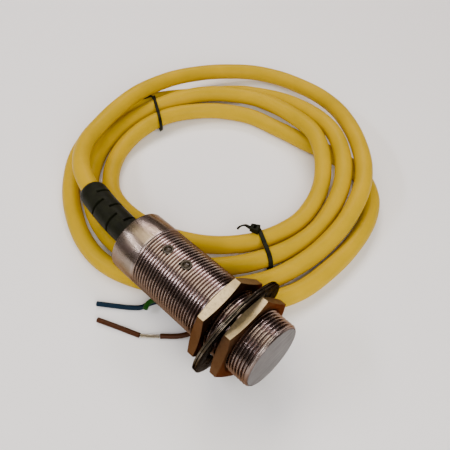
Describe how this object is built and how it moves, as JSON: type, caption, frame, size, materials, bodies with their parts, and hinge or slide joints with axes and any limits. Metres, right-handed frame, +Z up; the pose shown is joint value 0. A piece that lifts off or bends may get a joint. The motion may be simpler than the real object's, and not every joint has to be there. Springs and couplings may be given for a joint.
{
  "type": "inductive proximity sensor",
  "caption": "Threaded cylindrical inductive proximity sensor with flush sensing face, lock nuts, toothed washers, indicator windows and a coiled cable with bare leads.",
  "frame": {"origin": "on the table, halfway between the sensing face and the tip of the strain relief, under the barrel axis", "axes": "+X along the barrel axis towards the sensing face, +Z up, +Y towards the middle of the cable coil"},
  "size_m": [0.1819, 0.1945, 0.048],
  "materials": {
    "nickel": "nickel plating, semi-bright",
    "steel": "spring steel, semi-bright",
    "face": "satin",
    "black_rubber": "matte",
    "black_plastic": "satin",
    "ferrite": "matte, dense pressed ferrite",
    "copper": "semi-bright copper",
    "bobbin": "satin",
    "board": "glossy resist over glass laminate",
    "chip": "matte moulding",
    "capacitor": "dipped coating",
    "resistor": "fired coating",
    "lens": "clear moulding, dark when unlit",
    "resin": "cast resin",
    "jacket": "satin extruded jacket",
    "brown": "satin insulation",
    "blue": "satin insulation",
    "green": "satin insulation",
    "tinned": "tinned copper strands"
  },
  "bodies": {
    "sensor": {"barrel": "nickel", "face_cap": "face", "face_seal": "black_rubber", "ferrite_core": "ferrite", "coil_bobbin": "bobbin", "coil_winding": "copper", "shield_ring": "copper", "core_carrier": "bobbin", "insulating_sleeve": "bobbin", "circuit_board": "board", "oscillator_chip": "chip", "filter_capacitor": "capacitor", "power_resistor": "resistor", "rectifier_bridge": "chip", "output_thyristor": "chip", "timing_capacitor": "capacitor", "output_lamp": "lens", "output_window": "lens", "power_lamp": "lens", "power_window": "lens", "resin_plug": "resin", "rear_ring": "black_plastic", "rear_seal": "black_rubber", "strain_relief": "black_plastic", "brown_board_wire": "brown", "blue_board_wire": "blue", "green_board_wire": "green", "cable": "jacket", "brown_lead": "brown", "brown_lead_strands": "tinned", "brown_lead_slug": "brown", "blue_lead": "blue", "green_lead": "green", "upper_tie": "black_plastic", "lower_tie": "black_plastic"},
    "front_washer": {"front_washer": "steel"},
    "front_nut": {"front_nut": "nickel"},
    "rear_washer": {"rear_washer": "steel"},
    "rear_nut": {"rear_nut": "nickel"}
  },
  "joints": [
    {"name": "front_washer_slide", "type": "slide", "parent": "sensor", "child": "front_washer", "axis": [1, 0, 0], "range_m": [0, 0.0075]},
    {"name": "front_nut_turn", "type": "hinge", "parent": "front_washer", "child": "front_nut", "pos_m": [0.0484, 0, 0.02425], "axis": [1, 0, 0], "range_deg": [-1, 1801]},
    {"name": "rear_washer_slide", "type": "slide", "parent": "sensor", "child": "rear_washer", "axis": [1, 0, 0], "range_m": [-0.0105, 0]},
    {"name": "rear_nut_turn", "type": "hinge", "parent": "rear_washer", "child": "rear_nut", "pos_m": [0.0355, 0, 0.02425], "axis": [1, 0, 0], "range_deg": [-2521, 1]}
  ],
  "couplings": [
    {"joint": "front_nut_turn", "follows": "front_washer_slide", "rad_per_m": 4188.8},
    {"joint": "rear_nut_turn", "follows": "rear_washer_slide", "rad_per_m": 4188.8}
  ]
}
